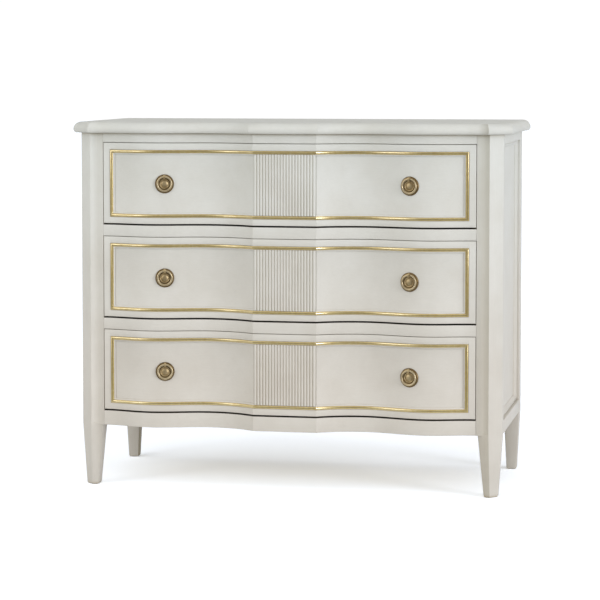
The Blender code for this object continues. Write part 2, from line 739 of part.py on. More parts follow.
def eye_cylinder(radius, half_length):
    sections = []
    for x in (-half_length, half_length):
        ring = []
        for k in range(EYE_FACETS):
            angle = 2 * math.pi * (k + HALF_FACET_SHARE) / EYE_FACETS
            y, z = radius * math.cos(angle), radius * math.sin(angle)
            ring.append((x, y - RING_STANDOFF, z + RING_RADIUS))
        sections.append(ring)
    return loft(sections)


def pull_ring():
    """The ring, with its origin on the line through the eye that it swings about."""
    sections = []
    for k in range(ROUND_FACETS):
        angle = 2 * math.pi * (k + HALF_FACET_SHARE) / ROUND_FACETS + math.pi / 2
        out = Vector((math.cos(angle), 0, math.sin(angle)))
        section = []
        for j in range(WIRE_FACETS):
            swing = 2 * math.pi * j / WIRE_FACETS
            reach = RING_RADIUS + RING_WIRE * math.cos(swing)
            section.append(out * reach + Vector((0, RING_WIRE * math.sin(swing), -RING_RADIUS)))
        sections.append(section)
    return loft(sections, ring=True)


def make_drawers(case, finishes):
    meshes = {
        "drawer_front": (drawer_front(), finishes["paint"]),
        "gilt_bead": (mesh_from(gilt_bead(), "gilt_bead"), finishes["gilt"]),
        "reeded_tablet": (mesh_from(reeded_tablet(), "reeded_tablet"), finishes["paint"]),
        "drawer_side_left": (drawer_side(-1), finishes["wood"]),
        "drawer_side_right": (drawer_side(1), finishes["wood"]),
    }
    half = BOX_INNER - GAP
    rear = BOX_REAR - BOX_BACK_INSET
    back = block((-half, half), (rear - BOX_BACK_THICKNESS, rear),
                 (bottom_groove_span()[1], BOX_SIDE_HEIGHT - BOX_BACK_DROP))
    meshes["drawer_back"] = (mesh_from(back, "drawer_back"), finishes["wood"])
    half = BOX_INNER + BOTTOM_GROOVE - GAP
    bottom = block((-half, half), (FRONT_BACK_PLANE - BOTTOM_THICKNESS + GAP, rear),
                   (BOTTOM_RISE + GAP, BOTTOM_RISE + GAP + BOTTOM_THICKNESS))
    meshes["drawer_bottom"] = (mesh_from(bottom, "drawer_bottom"), finishes["wood"])
    plate = rosette()
    ring = mesh_from(pull_ring(), "ring", smooth=True)
    base = pull_base()
    for name, height in zip(DRAWERS, OPENING_BASES):
        drawer = guide_point(name + "_drawer_slide", case, (0, 0, height))
        for piece, (mesh, material) in meshes.items():
            place(name + "_" + piece, mesh, material, drawer)
        for label, side in SIDES.items():
            location = (side * base.x, base.y, pull_height())
            pull = guide_point(name + "_pull_" + label, drawer, location, pull_turn(side))
            place(name + "_rosette_" + label, plate, finishes["brass"], pull)
            place(name + "_ring_" + label, ring, finishes["brass"], pull, (0, -RING_STANDOFF, RING_RADIUS))


def build():
    clear_scene()
    finishes = {
        "paint": finish("off_white_paint", (0.62, 0.62, 0.58), 0.45),
        "gilt": finish("metal_leaf", (0.62, 0.50, 0.24), 0.28, 1.0),
        "brass": finish("antique_brass", (0.42, 0.31, 0.19), 0.35, 1.0),
        "wood": finish("plain_poplar", (0.55, 0.42, 0.28), 0.6),
    }
    case = guide_point("case_origin", location=(0, STILE_PLANE, 0))
    make_top(case, finishes["paint"])
    make_posts(case, finishes["paint"])
    make_sides(case, finishes["paint"])
    make_rails(case, finishes["paint"])
    make_back(case, finishes["paint"], finishes["wood"])
    make_runners(case, finishes["wood"])
    make_stops(case, finishes["wood"])
    make_drawers(case, finishes)
    bpy.context.view_layer.update()


build()
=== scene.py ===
"""A painted serpentine chest of three drawers, dressed in its finishes and lit for its picture.

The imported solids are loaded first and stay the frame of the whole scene. The sections follow
the chest as it is put together: bare case wood, posts, sides, shaped rails, top, drawer
boxes, drawer fronts, gilt mouldings, reeded tablets and ring pulls, then the room. Lengths
are in metres, and the Scale of a noise is about how many patches it has in a metre.
"""
import json
import math

import bmesh
import bpy
from mathutils import Matrix, Vector


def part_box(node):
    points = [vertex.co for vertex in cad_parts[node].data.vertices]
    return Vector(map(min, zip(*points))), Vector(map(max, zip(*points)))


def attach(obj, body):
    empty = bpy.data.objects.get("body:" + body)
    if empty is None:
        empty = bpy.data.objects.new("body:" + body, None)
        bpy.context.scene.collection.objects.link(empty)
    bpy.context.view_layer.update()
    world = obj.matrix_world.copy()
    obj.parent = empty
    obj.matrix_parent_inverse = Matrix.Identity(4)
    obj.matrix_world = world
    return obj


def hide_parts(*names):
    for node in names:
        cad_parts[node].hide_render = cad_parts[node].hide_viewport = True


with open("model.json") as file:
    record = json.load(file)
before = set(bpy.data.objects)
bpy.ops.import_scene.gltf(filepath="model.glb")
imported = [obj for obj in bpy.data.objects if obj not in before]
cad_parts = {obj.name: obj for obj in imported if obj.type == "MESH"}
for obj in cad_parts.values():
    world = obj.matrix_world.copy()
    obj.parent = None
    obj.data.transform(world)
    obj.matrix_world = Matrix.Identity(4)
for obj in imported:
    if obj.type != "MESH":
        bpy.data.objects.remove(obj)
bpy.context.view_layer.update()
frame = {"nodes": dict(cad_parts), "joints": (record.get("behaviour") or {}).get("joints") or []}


# Runners, drawer stops and the back: plain poplar left bare inside the case.
# Runners and stops are planed strips glued behind the rails; the thin back is let in
# between the rear posts on two rails.

LEVELS = ("lower", "middle", "upper")
ACROSS, DEEP, UPRIGHT = range(3)
ALONG_GRAIN = 0.05


def linear(code):
    """A colour written as sRGB hex, as the linear numbers that a shader takes."""
    shares = [int(code[k:k + 2], 16) / 255 for k in (1, 3, 5)]
    return (*(c / 12.92 if c <= 0.04045 else ((c + 0.055) / 1.055) ** 2.4 for c in shares), 1.0)


def grey(share):
    """A neutral tone, as linear numbers."""
    return (share, share, share, 1.0)


def add(tree, kind, settings=None, links=None):
    """One more node. Lower-case settings are its options, and stops those of its ramp, a low and
    a high one first. The other settings and the links are its sockets, and a node that is given
    as a link stands for its first output."""
    node = tree.nodes.new(kind)
    for name, value in (settings or {}).items():
        if name == "stops":
            elements = node.color_ramp.elements
            for k, (place, colour) in enumerate(value):
                element = elements[k] if k < 2 else elements.new(place)
                element.position = place
                element.color = colour
        elif isinstance(name, str) and name.islower():
            setattr(node, name, value)
        else:
            node.inputs[name].default_value = value
    for name, source in (links or {}).items():
        socket = source.outputs[0] if isinstance(source, bpy.types.Node) else source
        tree.links.new(socket, node.inputs[name])
    return node


def blank_finish(name):
    """A new material: its tree, its surface shader, and the Object coordinates to read."""
    material = bpy.data.materials.new(name)
    material.use_nodes = True
    tree = material.node_tree
    tree.nodes.clear()
    surface = add(tree, "ShaderNodeBsdfPrincipled")
    add(tree, "ShaderNodeOutputMaterial", links={"Surface": surface})
    return material, tree, surface, add(tree, "ShaderNodeTexCoord").outputs["Object"]


def skin(tree, surface, colour, roughness, patches, relief, bumps):
    """What ends most finishes: a colour, a roughness that runs between two values with one
    noise, and a relief of (strength, depth) that follows another."""
    sheen = add(tree, "ShaderNodeMapRange", {"To Min": roughness[0], "To Max": roughness[1]},
                {"Value": patches})
    bump = add(tree, "ShaderNodeBump", {"Strength": relief[0], "Distance": relief[1]},
               {"Height": bumps})
    for name, source in (("Base Color", colour), ("Roughness", sheen.outputs[0]),
                         ("Normal", bump.outputs[0])):
        tree.links.new(source, surface.inputs[name])


def poplar(name, grain):
    """Bare poplar: pale tan with soft greenish streaks some 36 mm apart, drawn out along the
    grain. Its pores are 1.1 mm apart, coarser than the real ones so that they show."""
    material, tree, surface, place = blank_finish("bare_poplar_grain_" + name)
    across = [1.0, 1.0, 1.0]
    across[grain] = ALONG_GRAIN
    stretch = add(tree, "ShaderNodeMapping", {"Scale": across}, {"Vector": place})
    streaks = add(tree, "ShaderNodeTexNoise", {"Scale": 28.0, "Detail": 5.0, "Roughness": 0.55,
                                               "Distortion": 0.6}, {"Vector": stretch})
    tone = add(tree, "ShaderNodeValToRGB",
               {"stops": ((0.30, linear("#BFAA80")), (0.62, linear("#DCCDA8")),
                          (0.46, linear("#D0BD94")))}, {"Fac": streaks})
    pores = add(tree, "ShaderNodeTexNoise", {"Scale": 900.0, "Detail": 2.0}, {"Vector": stretch})
    pore_tone = add(tree, "ShaderNodeValToRGB",
                    {"stops": ((0.30, grey(0.80)), (0.50, grey(1.0)))}, {"Fac": pores})
    colour = add(tree, "ShaderNodeMix", {"data_type": "RGBA", "blend_type": "MULTIPLY", 0: 0.8},
                 {6: tone, 7: pore_tone})
    skin(tree, surface, colour.outputs[2], roughness=(0.55, 0.72), patches=streaks,
         relief=(0.5, 0.0003), bumps=pores)
    return material


# Grain runs along each board: up the back panel, across in the rails, front to back in the
# runners. It gives the eye pale raw wood against the painted front.
poplar_across = poplar("across", ACROSS)
poplar_deep = poplar("front_to_back", DEEP)
poplar_upright = poplar("upright", UPRIGHT)


def refinish(node, material):
    """A CAD piece keeps its shape and takes a better finish."""
    for place in frame["nodes"][node].material_slots:
        place.material = material


for level in LEVELS:
    refinish(level + "_runner_left", poplar_deep)
    refinish(level + "_runner_right", poplar_deep)
    refinish(level + "_drawer_stop", poplar_across)
refinish("back_foot_rail", poplar_across)
refinish("back_top_rail", poplar_across)
refinish("back_panel", poplar_upright)


# Posts and legs: four hardwood posts that run from the floor to the top, the lower end
# of each tapered as a leg. The front ones are canted at the corner, with a hollow that
# sweeps to the cant. All are sanded and painted off-white, with a thin brown glaze and
# painted shade in the corners.

SIDES = ("left", "right")
BROWNER_FROM = 0.78
BROWNEST_BELOW = 0.25
ALONG_STROKES = 0.03
EVERYWHERE = (-1.0, -0.9)
POST_ARRIS = 0.0009
SAME_PLACE = 0.00001
SMOOTH_BELOW = math.radians(32)
SINE_30 = 0.5
COSINE_30 = 0.866


def in_corners(tree, colour, dark, reach, share, least_open, most_open):
    """A colour with a darker one laid into the corners: its full share where the surface is least
    open within a reach, and none of it from where it is most open."""
    corners = add(tree, "ShaderNodeAmbientOcclusion", {"samples": 8, "Distance": reach})
    laid = add(tree, "ShaderNodeValToRGB",
               {"stops": ((least_open, grey(share)), (most_open, grey(0.0)))},
               {"Fac": corners.outputs["AO"]})
    return add(tree, "ShaderNodeMix", {"data_type": "RGBA", 7: linear(dark)},
               {0: laid, 6: colour}).outputs[2]


def off_white_paint(name, grain, glaze_and_shade, shine=0.5, painted_shade=None):
    """Off-white satin paint, brushed along one axis. A share of tea-brown glaze is laid into the
    corners by how closed they are, so it is glaze and painted shade at once, and the tone turns
    browner towards the feet. The strokes are 2.4 mm wide, coarser than bristle marks so that
    they show, and the clouds in its tone are 110 mm across. Painted shade, given as its colour
    and the two x between which it grows, darkens the coat over that span."""
    material, tree, surface, place = blank_finish("off_white_paint_" + name)
    brushed = [1.0, 1.0, 1.0]
    brushed[grain] = ALONG_STROKES
    stroke_place = add(tree, "ShaderNodeMapping", {"Scale": brushed}, {"Vector": place})
    strokes = add(tree, "ShaderNodeTexNoise", {"Scale": 420.0, "Detail": 3.0, "Roughness": 0.6},
                  {"Vector": stroke_place})
    clouds = add(tree, "ShaderNodeTexNoise", {"Scale": 9.0, "Detail": 4.0, "Roughness": 0.6},
                 {"Vector": place})
    upper_tone, lower_tone = (add(tree, "ShaderNodeValToRGB",
                       {"stops": ((0.34, linear(deep)), (0.66, linear(pale)))}, {"Fac": clouds})
                   for deep, pale in (("#D1D1C9", "#D7D8D2"), ("#CEC8BD", "#D4CFC5")))
    spot = add(tree, "ShaderNodeSeparateXYZ", links={0: place})
    towards_feet = add(tree, "ShaderNodeMapRange", {"From Min": BROWNER_FROM, "From Max": BROWNEST_BELOW},
               {"Value": spot.outputs["Z"]})
    tone = add(tree, "ShaderNodeMix", {"data_type": "RGBA"}, {0: towards_feet, 6: upper_tone, 7: lower_tone})
    stroke_tone = add(tree, "ShaderNodeValToRGB",
                      {"stops": ((0.25, grey(0.965)), (0.65, grey(1.0)))}, {"Fac": strokes})
    coat = add(tree, "ShaderNodeMix", {"data_type": "RGBA", "blend_type": "MULTIPLY", 0: 1.0},
               {6: tone.outputs[2], 7: stroke_tone})
    if painted_shade:
        brown, starts, full = painted_shade
        growth = add(tree, "ShaderNodeMapRange", {"From Min": starts, "From Max": full},
                     {"Value": spot.outputs["X"]})
        coat = add(tree, "ShaderNodeMix", {"data_type": "RGBA", "blend_type": "MULTIPLY",
                                           7: linear(brown)}, {0: growth, 6: coat.outputs[2]})
    glazed_and_shaded = in_corners(tree, coat.outputs[2], "#9A865C", reach=0.012, share=glaze_and_shade,
                        least_open=0.25, most_open=0.80)
    surface.inputs["Specular IOR Level"].default_value = shine
    skin(tree, surface, glazed_and_shaded, roughness=(0.46, 0.60), patches=clouds, relief=(0.35, 0.00025),
         bumps=strokes)
    return material


# Brushed up the posts: a calm satin skin with faint strokes, and brownish lines where wood meets
# wood, which are glaze and painted shade. The inner part of the left stile and the outer part of
# the right one carry painted shade, and the inner faces of the rear legs are darkened by it too.
paint_upright = off_white_paint("brushed_up", UPRIGHT, 0.60)
paint_stile = {
    "left": off_white_paint("on_left_stile", UPRIGHT, 0.60, painted_shade=("#F6F5F3", -0.467, -0.455)),
    "right": off_white_paint("on_right_stile", UPRIGHT, 0.60, painted_shade=("#ECEAE4", 0.432, 0.463))}
paint_panel = off_white_paint("on_panels", UPRIGHT, 0.16)
paint_inner_shaded = off_white_paint("thin_on_inner_faces", UPRIGHT, 0.16, painted_shade=("#BCB296", *EVERYWHERE))


def freeze(piece):
    """Turns a piece and its modifiers into one plain mesh."""
    graph = bpy.context.evaluated_depsgraph_get()
    mesh = bpy.data.meshes.new_from_object(piece.evaluated_get(graph))
    piece.modifiers.clear()
    piece.data = mesh


def plain_piece(piece, material, body, node):
    """Freezes a piece, gives it its finish and lets it ride in place of its CAD node."""
    freeze(piece)
    piece.data.materials.clear()
    piece.data.materials.append(material)
    piece.data.shade_smooth()
    piece.data.set_sharp_from_angle(angle=SMOOTH_BELOW)
    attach(piece, body)
    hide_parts(node)
    return piece


def in_scene(name, data):
    """A new object in the scene, at the origin."""
    made = bpy.data.objects.new(name, data)
    bpy.context.scene.collection.objects.link(made)
    return made


def new_piece(name, shape):
    """A piece from a bmesh shape, with its faces turned outward."""
    bmesh.ops.recalc_face_normals(shape, faces=shape.faces)
    mesh = bpy.data.meshes.new(name)
    shape.to_mesh(mesh)
    shape.free()
    return in_scene(name, mesh)


def merged(mesh, flat_within):
    """A mesh as a shape: loose points joined, and faces too that lie flat within some degrees."""
    shape = bmesh.new()
    shape.from_mesh(mesh)
    bmesh.ops.remove_doubles(shape, verts=shape.verts, dist=SAME_PLACE)
    bmesh.ops.dissolve_limit(shape, angle_limit=math.radians(flat_within), verts=shape.verts,
                             edges=shape.edges)
    return shape


def ease(piece, width, above=24):
    """Breaks with a narrow round every arris where the faces turn by more than some degrees."""
    modifier = piece.modifiers.new("eased", "BEVEL")
    modifier.width = width
    modifier.segments = 2
    modifier.limit_method = "ANGLE"
    modifier.angle_limit = math.radians(above)
    modifier.use_clamp_overlap = True
    modifier.miter_outer = "MITER_ARC"


def eased_piece(node, width, material, body):
    """A CAD piece made again from whole faces, its arrises eased, in its finish."""
    piece = new_piece(node + "_finished", merged(frame["nodes"][node].data, 0.5))
    ease(piece, width)
    return plain_piece(piece, material, body, node)


def refinish_side(piece, material, look, least=0.6, past=-1.0):
    """Gives a second finish to the faces of a finished piece that look one way, right of an x."""
    piece.data.materials.append(material)
    for face in piece.data.polygons:
        if face.normal.dot(Vector(look)) > least and face.center.x > past:
            face.material_index = 1


# The stile's own finish, with its painted shade, takes its face and the hollow beside it, and
# stops at the cant. The inner faces of the rear posts take painted shade.
for side, inward in zip(SIDES, (1, -1)):
    front = eased_piece("front_post_" + side, POST_ARRIS, paint_upright, "case")
    refinish_side(front, paint_stile[side], (SINE_30 * inward, -COSINE_30, 0), 0.7)
    rear = eased_piece("rear_post_" + side, POST_ARRIS, paint_panel, "case")
    refinish_side(rear, paint_inner_shaded, (inward, 0, 0))


# Framed sides: a foot rail and a deep top rail between the posts, and a flat panel let
# into their grooves with a moulding mitred round its face. Painted with the posts.

RAIL_ARRIS = 0.0006

# The same satin skin, with its strokes along the rails of the sides.
paint_deep = off_white_paint("brushed_front_to_back", DEEP, 0.16)

for side in SIDES:
    for rail in ("side_foot_rail_", "side_top_rail_"):
        eased_piece(rail + side, RAIL_ARRIS, paint_deep, "case")
    eased_piece("side_panel_" + side, RAIL_ARRIS, paint_panel, "case")


# Shaped rails: apron, two dividers and the rail under the top, sawn from thick stock to
# the serpentine plan and tenoned between the front posts. The rule that bends them also
# bends the drawer fronts and their mouldings, so that all lie flush.

CENTRE_WIDTH = 0.150
CENTRE_RELIEF = 0.030
HOLLOW_PLACE = 0.18163
HOLLOW_DEPTH = 0.006
SWELL_PLACE = 0.325605
SWELL_RELIEF = 0.023
SHAPED_HALF = 0.443
STILE_FACE = -0.198
RAIL_REAR = STILE_FACE + 0.045
RAIL_EASE = 0.0012
RAIL_EASE_STEPS = 3
CENTRE_STEPS = 4
STATION_STEP = 0.0045
REAR_MARGIN = 0.001
HAIR = 0.000001


def work_out(tree, values, steps):
    """Works out a formula in steps of (result, operation, terms), one node each. A term is a
    number or the name of a socket in values, where each result goes under its own name."""
    for result, operation, *terms in steps:
        numbers = {k: term for k, term in enumerate(terms) if not isinstance(term, str)}
        sockets = {k: values[term] for k, term in enumerate(terms) if isinstance(term, str)}
        node = add(tree, "ShaderNodeMath", {"operation": operation, **numbers}, sockets)
        values[result] = node.outputs[0]


def new_tree(name, *inputs):
    """A geometry tree that takes a geometry, inputs given by name and kind, and a finish."""
    tree = bpy.data.node_groups.new(name, "GeometryNodeTree")
    tree.interface.new_socket("Geometry", in_out="OUTPUT", socket_type="NodeSocketGeometry")
    for label, kind in (("Geometry", "Geometry"), *inputs, ("Finish", "Material")):
        tree.interface.new_socket(label, in_out="INPUT", socket_type="NodeSocket" + kind)
    return tree, add(tree, "NodeGroupInput").outputs


def finish_tree(tree, geometry, material):
    """The end of a tree: what it made is real, takes its finish and goes out."""
    real = add(tree, "GeometryNodeRealizeInstances", links={"Geometry": geometry})
    finished = add(tree, "GeometryNodeSetMaterial", links={"Geometry": real, "Material": material})
    add(tree, "NodeGroupOutput", links={0: finished})
    return tree


def serpentine_rule():
    """Moves straight stock forward to the plan: a raised centre, a round hollow each side of
    it, then a swell that dies away at the stile. Points move by their own follow share."""
    sizes = ("Centre Width", "Centre Relief", "Hollow Place", "Hollow Depth", "Swell Place",
             "Swell Relief", "End Place")
    tree, given = new_tree("serpentine_plan", *((name, "Float") for name in sizes))
    values = {name: given[name] for name in sizes}
    place = add(tree, "ShaderNodeSeparateXYZ", links={0: add(tree, "GeometryNodeInputPosition")})
    values["x"] = place.outputs["X"]
    work_out(tree, values, (
        ("across", "ABSOLUTE", "x"),
        ("centre edge", "MULTIPLY", "Centre Width", 0.5),
        ("run", "SUBTRACT", "Hollow Place", "centre edge"),
        ("rise", "ADD", "Centre Relief", "Hollow Depth"),
        ("run squared", "MULTIPLY", "run", "run"),
        ("rise squared", "MULTIPLY", "rise", "rise"),
        ("squares", "ADD", "run squared", "rise squared"),
        ("twice the rise", "MULTIPLY", "rise", 2.0),
        ("radius", "DIVIDE", "squares", "twice the rise"),
        ("reach", "SUBTRACT", "Hollow Place", "across"),
        ("radius squared", "MULTIPLY", "radius", "radius"),
        ("reach squared", "MULTIPLY", "reach", "reach"),
        ("chord squared", "SUBTRACT", "radius squared", "reach squared"),
        ("no less than 0", "MAXIMUM", "chord squared", 0.0),
        ("chord", "SQRT", "no less than 0"),
        ("circle's middle", "SUBTRACT", "radius", "Hollow Depth"),
        ("round hollow", "SUBTRACT", "circle's middle", "chord"),
        ("hollow relief", "MULTIPLY", "Hollow Depth", -1.0)))
    for wave, start, end, near, far in (
            ("to swell", "hollow relief", "Swell Relief", "Hollow Place", "Swell Place"),
            ("to stile", "Swell Relief", 0.0, "Swell Place", "End Place")):
        work_out(tree, values, (
            ("past near", "SUBTRACT", "across", near),
            ("near to far", "SUBTRACT", far, near),
            ("share", "DIVIDE", "past near", "near to far"),
            ("no less than 0", "MAXIMUM", "share", 0.0),
            ("no more than 1", "MINIMUM", "no less than 0", 1.0),
            ("turn", "MULTIPLY", "no more than 1", math.pi),
            ("cosine", "COSINE", "turn"),
            ("fall", "SUBTRACT", 1.0, "cosine"),
            ("wave share", "MULTIPLY", "fall", 0.5),
            ("change", "SUBTRACT", end, start),
            ("changed", "MULTIPLY", "change", "wave share"),
            (wave, "ADD", start, "changed")))

    values["relief"] = values["Centre Relief"]
    for start, part in (("centre edge", "round hollow"), ("Hollow Place", "to swell"),
                        ("Swell Place", "to stile")):
        work_out(tree, values, (("just past", "ADD", start, HAIR),
                                ("beyond", "GREATER_THAN", "across", "just past")))
        chosen = add(tree, "GeometryNodeSwitch", {"input_type": "FLOAT"},
                     {"Switch": values["beyond"], "False": values["relief"], "True": values[part]})
        values["relief"] = chosen.outputs[0]
    follow = add(tree, "GeometryNodeInputNamedAttribute", {"data_type": "FLOAT", "Name": "follow"})
    values["follow"] = follow.outputs["Attribute"]
    work_out(tree, values, (("in full", "MULTIPLY", "relief", -1.0),
                            ("forward", "MULTIPLY", "in full", "follow")))
    offset = add(tree, "ShaderNodeCombineXYZ", links={"Y": values["forward"]})
    moved = add(tree, "GeometryNodeSetPosition", links={"Geometry": given["Geometry"],
                                                        "Offset": offset})
    return finish_tree(tree, moved, given["Finish"])


def give(piece, tree, **values):
    """Puts a tree on a piece and sets its named inputs, by each socket's identifier."""
    modifier = piece.modifiers.new(tree.name, "NODES")
    modifier.node_group = tree
    for item in tree.interface.items_tree:
        name = item.name.lower().replace(" ", "_")
        if item.in_out == "INPUT" and name in values:
            modifier[item.identifier] = values[name]


serpentine = serpentine_rule()


def bend_to_plan(piece, material):
    """Puts the serpentine rule, with the chest's sizes, on a straight piece."""
    give(piece, serpentine, centre_width=CENTRE_WIDTH, centre_relief=CENTRE_RELIEF,
         hollow_place=HOLLOW_PLACE, hollow_depth=HOLLOW_DEPTH, swell_place=SWELL_PLACE,
         swell_relief=SWELL_RELIEF, end_place=SHAPED_HALF, finish=material)


def stations(half):
    """Places across the front, from -half to half, two of them the edges of the raised centre."""
    centre = CENTRE_WIDTH / 2
    inner = [centre * k / CENTRE_STEPS for k in range(CENTRE_STEPS)]
    count = max(1, round((half - centre) / STATION_STEP))
    outer = [centre + (half - centre) * k / count for k in range(count + 1)]
    right = inner + outer
    return [-x for x in reversed(right[1:])] + right


def quarter(steps):
    """The angles of a quarter turn, from 0, in equal steps."""
    return [math.pi / 2 * k / steps for k in range(steps + 1)]


def loft(sections, ring=False):
    """A closed shape through sections of equal point counts, capped unless it is a ring."""
    shape = bmesh.new()
    rows = [[shape.verts.new(point) for point in section] for section in sections]
    pairs = list(zip(rows, rows[1:]))
    if ring:
        pairs.append((rows[-1], rows[0]))
    else:
        shape.faces.new(rows[0])
        shape.faces.new(rows[-1])
    for near, far in pairs:
        for i in range(len(near)):
            j = (i + 1) % len(near)
            shape.faces.new((near[i], near[j], far[j], far[i]))
    return shape


def follow_the_plan(shape, flat_from):
    """Points in front of a plane follow the plan in full, those on it or behind it stay."""
    layer = shape.verts.layers.float.new("follow")
    for vert in shape.verts:
        vert[layer] = 1.0 if vert.co.y < flat_from else 0.0


def near_black_shade_wood():
    """The faces that the drawers run over, in a near-black brown with streaks 17 mm apart drawn
    out along the front: painted shade, so that the gap under each drawer reads dark."""
    material, tree, surface, place = blank_finish("dark_stained_running_face")
    stretch = add(tree, "ShaderNodeMapping", {"Scale": (ALONG_GRAIN, 1.0, 1.0)},
                  {"Vector": place})
    streaks = add(tree, "ShaderNodeTexNoise", {"Scale": 60.0, "Detail": 4.0}, {"Vector": stretch})
    tone = add(tree, "ShaderNodeValToRGB",
               {"stops": ((0.35, linear("#271D10")), (0.65, linear("#413320")))}, {"Fac": streaks})
    bump = add(tree, "ShaderNodeBump", {"Strength": 0.3, "Distance": 0.0002}, {"Height": streaks})
    tree.links.new(tone.outputs[0], surface.inputs["Base Color"])
    tree.links.new(bump.outputs[0], surface.inputs["Normal"])
    surface.inputs["Roughness"].default_value = 0.7
    return material


# The satin skin again, with its strokes along the front. The near-black brown on the running
# faces is painted shade, so that the gap under each drawer reads as a black line.
paint_across = off_white_paint("brushed_across", ACROSS, 0.60)
painted_shade_dark = near_black_shade_wood()

for rail in ("apron_rail", "lower_divider_rail", "upper_divider_rail", "top_rail"):
    low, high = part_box(rail)
    turns = quarter(RAIL_EASE_STEPS)
    profile = [(RAIL_REAR, low.z), (RAIL_REAR, high.z)]
    for edge, way, order in ((high.z, -1, turns), (low.z, 1, reversed(turns))):
        for turn in order:
            profile.append((STILE_FACE + RAIL_EASE * (1 - math.sin(turn)),
                            edge + way * RAIL_EASE * (1 - math.cos(turn))))
    shape = loft([[(x, y, z) for y, z in profile] for x in stations(high.x)])
    follow_the_plan(shape, RAIL_REAR - REAR_MARGIN)
    piece = new_piece(rail + "_finished", shape)
    bend_to_plan(piece, paint_across)
    plain_piece(piece, paint_across, "case", rail)
    # Painted shade: the faces of these rails under the drawers are near-black.
    if rail != "top_rail":
        refinish_side(piece, painted_shade_dark, (0, 0, 1))


# Top: one glued-up slab, its front cut to the same plan with canted corners, and a
# thumbnail moulding worked round the front and both ends. Painted, flat and very even.

TOP_OVERHANG = 0.020
OUTER = 0.502
CANT = 0.029
EAR_PROUD = 0.006
EAR_WIDTH = 0.022
EAR_STEPS = 8
EAR_FROM = 0.440
NOSE_HEIGHT = 0.009
NOSE_SPREAD = 0.019
NOSE_STEPS = 9
NOSE_UNDERCUT = 0.007
UNDERCUT_STEPS = 5
top_low, top_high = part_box("top")

# A duller satin than below, so that the light on the flat of the top stays even. The hollow
# ear beside the right canted corner carries painted shade.
paint_top = off_white_paint("rubbed_dull", ACROSS, 0.60, 0.2)
paint_ear = off_white_paint("in_right_ear", ACROSS, 0.60, 0.2, painted_shade=("#E4E2DD", 0.447, 0.470))


def relief(x):
    """The serpentine rule again, for the edge of the top that runs outside it."""
    x = abs(x)
    centre = CENTRE_WIDTH / 2
    if x <= centre:
        return CENTRE_RELIEF
    if x <= HOLLOW_PLACE:
        rise = CENTRE_RELIEF + HOLLOW_DEPTH
        radius = ((HOLLOW_PLACE - centre) ** 2 + rise ** 2) / (2 * rise)
        return radius - HOLLOW_DEPTH - math.sqrt(radius ** 2 - (HOLLOW_PLACE - x) ** 2)
    if x <= SWELL_PLACE:
        share = (x - HOLLOW_PLACE) / (SWELL_PLACE - HOLLOW_PLACE)
        return -HOLLOW_DEPTH + (SWELL_RELIEF + HOLLOW_DEPTH) * (1 - math.cos(math.pi * share)) / 2
    if x <= SHAPED_HALF:
        share = (x - SWELL_PLACE) / (SHAPED_HALF - SWELL_PLACE)
        return SWELL_RELIEF * (1 + math.cos(math.pi * share)) / 2
    return 0.0


def top_outline(inset):
    """The plan of the top, drawn in from its widest line by an inset."""
    reach = TOP_OVERHANG - inset
    mitre = math.tan(math.pi / 8) * inset
    line = [Vector((x, -relief(x))) for x in stations(SHAPED_HALF)]
    front = []
    for k, point in enumerate(line):
        before = (point - line[k - 1]).normalized() if k else Vector((1, 0))
        after = (line[k + 1] - point).normalized() if k + 1 < len(line) else Vector((1, 0))
        normals = [Vector((run.y, -run.x)) for run in (before, after)]
        outward = (normals[0] + normals[1]) / (1 + normals[0].dot(normals[1]))
        front.append(tuple(point + outward * reach))
    arris = OUTER - CANT - mitre
    right = []
    for k in range(EAR_STEPS + 1):
        share = k / EAR_STEPS
        right.append((arris - EAR_WIDTH + EAR_WIDTH * share, -reach - EAR_PROUD * share ** 2))
    right += [(OUTER + reach, CANT - EAR_PROUD + mitre), (OUTER + reach, top_high.y - STILE_FACE)]
    left = [(-x, y) for x, y in reversed(right)]
    return left + front + right


rows = [(NOSE_UNDERCUT * (1 - math.sin(turn)), NOSE_HEIGHT * (1 - math.cos(turn)))
        for turn in quarter(UNDERCUT_STEPS)]
rows += [(NOSE_SPREAD * (1 - math.cos(turn)),
          NOSE_HEIGHT + (top_high.z - top_low.z - NOSE_HEIGHT) * math.sin(turn))
         for turn in quarter(NOSE_STEPS)[1:]]
shape = loft([[(x, y + STILE_FACE, top_low.z + height) for x, y in top_outline(inset)]
              for inset, height in rows])
top = plain_piece(new_piece("top_finished", shape), paint_top, "case", "top")
# Painted shade in the hollow ear at the right canted corner.
refinish_side(top, paint_ear, (-SINE_30, -COSINE_30, 0), 0.4, past=EAR_FROM)


# Drawer boxes: poplar sides joined to the front with half-blind dovetails, a back let in
# between them and a thin bottom pushed into grooves. Left bare, edges just broken.

BOX_ARRIS = 0.0004
for level in LEVELS:
    drawer = level + "_drawer"
    for side in SIDES:
        eased_piece(drawer + "_side_" + side, BOX_ARRIS, poplar_deep, drawer)
    eased_piece(drawer + "_back", BOX_ARRIS, poplar_across, drawer)
    refinish(drawer + "_bottom", poplar_across)


# Drawer fronts: thick stock sawn to the serpentine plan, the field sunk inside a flat
# border, sockets chopped behind for the dovetails and a flat seat cut for each pull.

